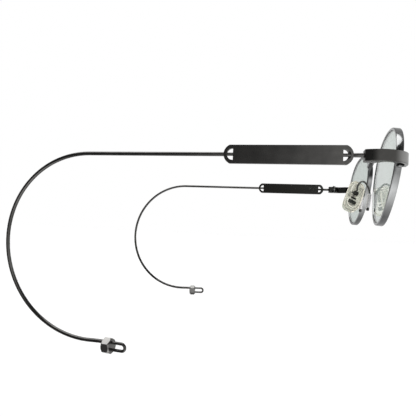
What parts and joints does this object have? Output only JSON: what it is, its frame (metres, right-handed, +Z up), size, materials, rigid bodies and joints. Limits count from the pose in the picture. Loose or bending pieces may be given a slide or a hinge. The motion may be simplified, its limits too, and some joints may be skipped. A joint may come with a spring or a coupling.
{
  "type": "sunglasses",
  "caption": "Wire sunglasses: oval metal rims with pale lenses, curved end pieces, hinged temples with a bare plate, large ear hooks ending in a hexagonal bead and loop, clear nose pads.",
  "frame": {"origin": "between the two nose pads, level with their pivots' middle, where the nose carries the glasses", "axes": "+X to the wearer's left, +Y back to the ears, +Z up"},
  "size_m": [0.1444, 0.1475, 0.0894],
  "materials": {
    "gunmetal": "dark gunmetal plating, satin",
    "dark_steel": "dark ruthenium plating, polished",
    "bright_steel": "polished steel",
    "tinted_lens": "pale grey-green, polished",
    "silicone": "clear silicone, slightly yellowed"
  },
  "bodies": {
    "front": {"bridge": "bright_steel", "rim_right": "bright_steel", "lens_right": "tinted_lens", "rim_lock_upper_right": "bright_steel", "rim_lock_lower_right": "bright_steel", "rim_lock_screw_right": "dark_steel", "pad_post_right": "bright_steel", "end_piece_right": "gunmetal", "hinge_leaf_front_right": "dark_steel", "hinge_screw_right": "bright_steel", "pad_arm_right": "dark_steel", "pad_box_right": "dark_steel", "pad_screw_right": "dark_steel", "rim_left": "bright_steel", "lens_left": "tinted_lens", "rim_lock_upper_left": "bright_steel", "rim_lock_lower_left": "bright_steel", "rim_lock_screw_left": "dark_steel", "pad_post_left": "bright_steel", "end_piece_left": "gunmetal", "hinge_leaf_front_left": "dark_steel", "hinge_screw_left": "bright_steel", "pad_arm_left": "dark_steel", "pad_box_left": "dark_steel", "pad_screw_left": "dark_steel"},
    "right_temple": {"temple_root_right": "gunmetal", "hinge_leaf_temple_right": "dark_steel", "stem_wire_right": "dark_steel", "name_plate_right": "gunmetal", "ear_wire_right": "dark_steel", "hex_bead_right": "dark_steel", "end_loop_right": "dark_steel"},
    "right_pad": {"pad_tab_right": "dark_steel", "nose_pad_right": "silicone"},
    "left_temple": {"temple_root_left": "gunmetal", "hinge_leaf_temple_left": "dark_steel", "stem_wire_left": "dark_steel", "name_plate_left": "gunmetal", "ear_wire_left": "dark_steel", "hex_bead_left": "dark_steel", "end_loop_left": "dark_steel"},
    "left_pad": {"pad_tab_left": "dark_steel", "nose_pad_left": "silicone"}
  },
  "joints": [
    {"name": "right_temple_fold", "type": "hinge", "parent": "front", "child": "right_temple", "pos_m": [-0.068, 0.0017, 0.0095], "axis": [0, 0, -1], "range_deg": [0, 90]},
    {"name": "left_temple_fold", "type": "hinge", "parent": "front", "child": "left_temple", "pos_m": [0.068, 0.0017, 0.0095], "axis": [0, 0, 1], "range_deg": [0, 84]},
    {"name": "right_pad_rock", "type": "hinge", "parent": "front", "child": "right_pad", "pos_m": [-0.01156, -0.00072, 0.00164], "axis": [-0.2005, 0.8915, 0.4062], "range_deg": [-10, 10]},
    {"name": "left_pad_rock", "type": "hinge", "parent": "front", "child": "left_pad", "pos_m": [0.01156, -0.00272, 0.00164], "axis": [0.2005, 0.8915, 0.4062], "range_deg": [-10, 10]}
  ]
}
